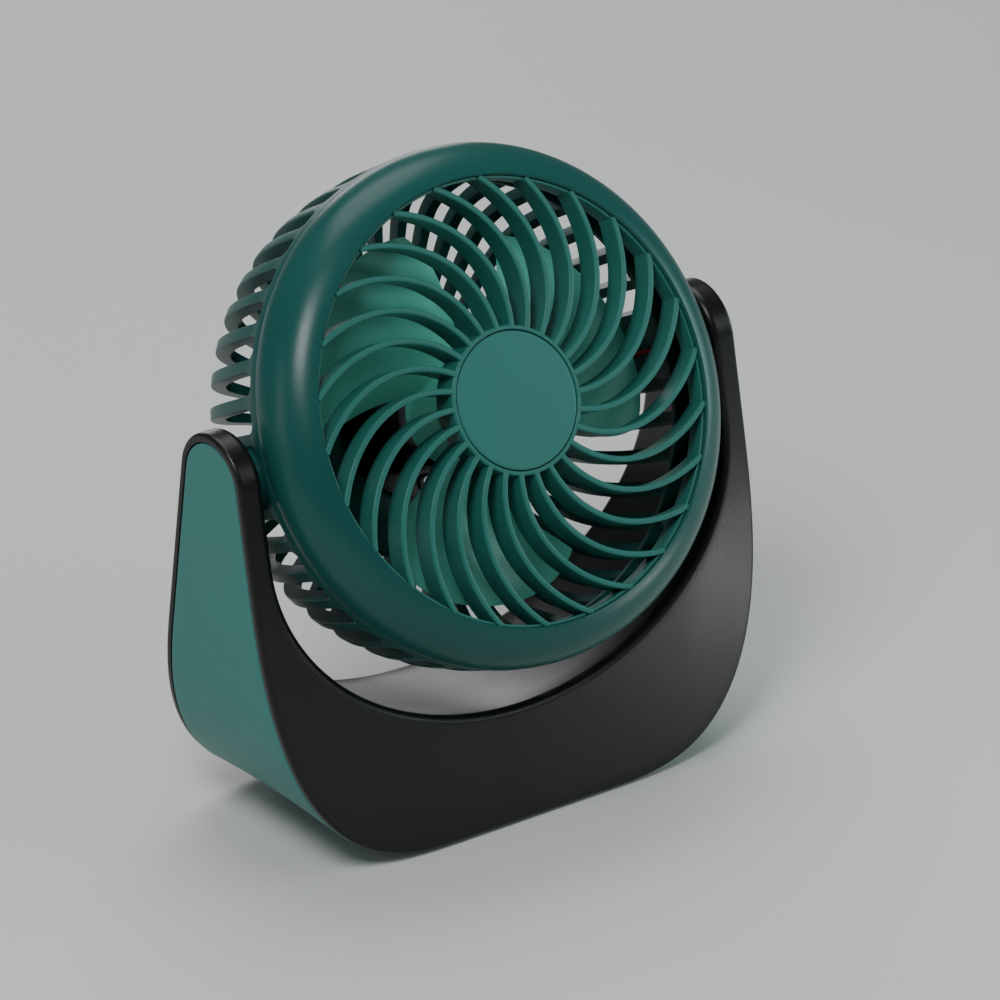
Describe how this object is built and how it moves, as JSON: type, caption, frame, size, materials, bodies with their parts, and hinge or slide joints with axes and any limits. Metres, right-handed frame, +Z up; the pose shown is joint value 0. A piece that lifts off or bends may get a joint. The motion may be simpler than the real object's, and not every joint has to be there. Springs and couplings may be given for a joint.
{
  "type": "desk fan",
  "caption": "Small round desk fan with a swirl grille and slotted cage, tilting between the arms of a U-shaped stand that holds its battery, switch and charging inlet.",
  "frame": {"origin": "middle of the underside of the anti-slip pad, on the surface that the stand rests on", "axes": "+Z up, the fan blows towards -Y, +X towards the arm on the right as seen from the front"},
  "size_m": [0.17, 0.1099, 0.1853],
  "materials": {
    "black_plastic": "satin black moulding",
    "green_plastic": "satin deep green moulding",
    "fan_green": "slightly glossy lighter green moulding",
    "rubber": "matt",
    "cell_sleeve": "shrink sleeve",
    "steel": "plain",
    "zinc_screw": "zinc plated",
    "zinc_can": "drawn can, satin",
    "cast_weight": "as cast",
    "circuit_board": "lacquered glass-fibre board",
    "clear_plastic": "frosted",
    "nylon": "natural",
    "brass": "sintered",
    "lead_sheath": "plain sheath"
  },
  "bodies": {
    "base": {"stand_body": "black_plastic", "outer_cover": "green_plastic", "anti_slip_pad": "rubber", "battery_cell": "cell_sleeve", "battery_cradle": "black_plastic", "battery_tab_minus": "steel", "battery_tab_plus": "steel", "control_board": "circuit_board", "control_chip": "black_plastic", "usb_socket": "steel", "tact_switch": "steel", "light_pipe": "clear_plastic", "stand_lead": "lead_sheath", "pivot_bush_left": "nylon", "pivot_bush_right": "nylon", "stop_pin": "steel", "ballast_left": "cast_weight", "ballast_right": "cast_weight", "cover_screw_1": "zinc_screw", "cover_screw_2": "zinc_screw", "cover_screw_3": "zinc_screw", "cover_screw_4": "zinc_screw"},
    "head": {"front_bezel": "green_plastic", "front_grille": "green_plastic", "hub_cap": "green_plastic", "rear_cage": "green_plastic", "rear_cap": "green_plastic", "pivot_washer_left": "steel", "pivot_screw_left": "zinc_screw", "pivot_clip_right": "steel", "motor_bracket": "black_plastic", "motor_can": "zinc_can", "motor_end_bell": "black_plastic", "motor_bearing": "brass", "motor_lead": "lead_sheath", "frame_screw_1": "zinc_screw", "frame_screw_2": "zinc_screw", "frame_screw_3": "zinc_screw", "frame_screw_4": "zinc_screw", "bracket_screw_1": "zinc_screw", "bracket_screw_2": "zinc_screw", "bracket_screw_3": "zinc_screw"},
    "fan": {"impeller": "fan_green", "motor_shaft": "steel"},
    "button": {"power_button": "black_plastic"}
  },
  "joints": [
    {"name": "head_tilt", "type": "hinge", "parent": "base", "child": "head", "pos_m": [0, 0.0032, 0.1115], "axis": [-1, 0, 0], "range_deg": [-187, 132]},
    {"name": "fan_spin", "type": "hinge", "parent": "head", "child": "fan", "pos_m": [0, 0.0032, 0.1115], "axis": [0, -0.8862, 0.4633], "continuous": true},
    {"name": "button_press", "type": "slide", "parent": "base", "child": "button", "axis": [0, -0.9898, -0.1423], "range_m": [0, 0.0008], "stiffness_N_per_m": 500, "springref_m": -0.0004}
  ]
}
